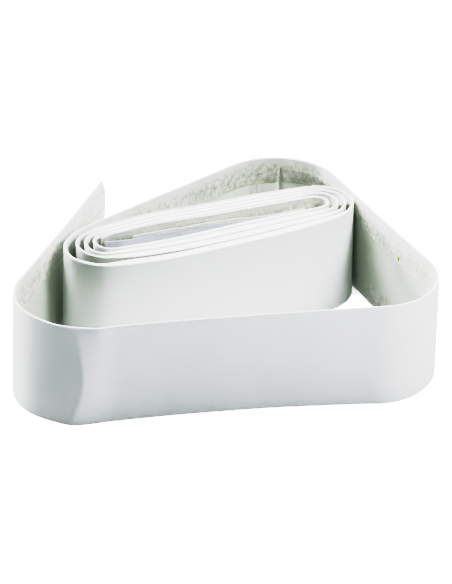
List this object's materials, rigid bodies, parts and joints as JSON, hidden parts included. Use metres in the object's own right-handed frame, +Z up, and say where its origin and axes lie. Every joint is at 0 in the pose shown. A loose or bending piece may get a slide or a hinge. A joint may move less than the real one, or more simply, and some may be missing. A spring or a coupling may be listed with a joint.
{
  "type": "racket grip tape roll",
  "caption": "Racket replacement grip wound flat and standing on edge, its outer end sprung round it as a loose loop with a free tail.",
  "frame": {"origin": "centre of the roll's footprint on the surface it stands on", "axes": "+X along the front band towards its right-hand corner, +Y from the front band towards the coil and the back bend, +Z up across the strip's width"},
  "size_m": [0.1026, 0.0882, 0.027],
  "materials": {
    "skin": "smooth semi-gloss white polyurethane skin",
    "felt": "off-white nonwoven felt with skived edges",
    "adhesive": "thin tacky double-sided adhesive tape",
    "liner": "smooth silicone-coated release paper",
    "finishing_tape": "thin vinyl tape",
    "tape_backing": "smooth release paper"
  },
  "bodies": {
    "coil": {"skin_coil": "skin", "felt_coil": "felt", "adhesive_coil": "adhesive", "liner_coil": "liner"},
    "back_band": {"skin_back_band": "skin", "felt_back_band": "felt", "adhesive_back_band": "adhesive", "liner_back_band": "liner"},
    "front_band": {"skin_front_band": "skin", "felt_front_band": "felt", "adhesive_front_band": "adhesive", "liner_front_band": "liner"},
    "tail": {"skin_tail": "skin", "felt_tail": "felt", "adhesive_tail": "adhesive", "liner_tail": "liner"},
    "finishing_tape": {"finishing_tape": "finishing_tape", "finishing_tape_backing": "tape_backing"}
  },
  "joints": [
    {"name": "lift_off_bend", "type": "hinge", "parent": "coil", "child": "back_band", "pos_m": [-0.03699, 0.00532, 0.0135], "axis": [0, 0, 1], "range_deg": [0, 6], "stiffness_Nm_per_rad": 0.005},
    {"name": "right_corner_bend", "type": "hinge", "parent": "back_band", "child": "front_band", "pos_m": [0.04936, -0.0268, 0.0135], "axis": [0, 0, 1], "range_deg": [0, 35], "stiffness_Nm_per_rad": 0.005},
    {"name": "left_corner_bend", "type": "hinge", "parent": "front_band", "child": "tail", "pos_m": [-0.04733, -0.03746, 0.0135], "axis": [0, 0, 1], "range_deg": [0, 60], "stiffness_Nm_per_rad": 0.005},
    {"name": "tape_pull", "type": "slide", "parent": "coil", "child": "finishing_tape", "axis": [0, 0, 1], "range_m": [0, 0.03]}
  ]
}
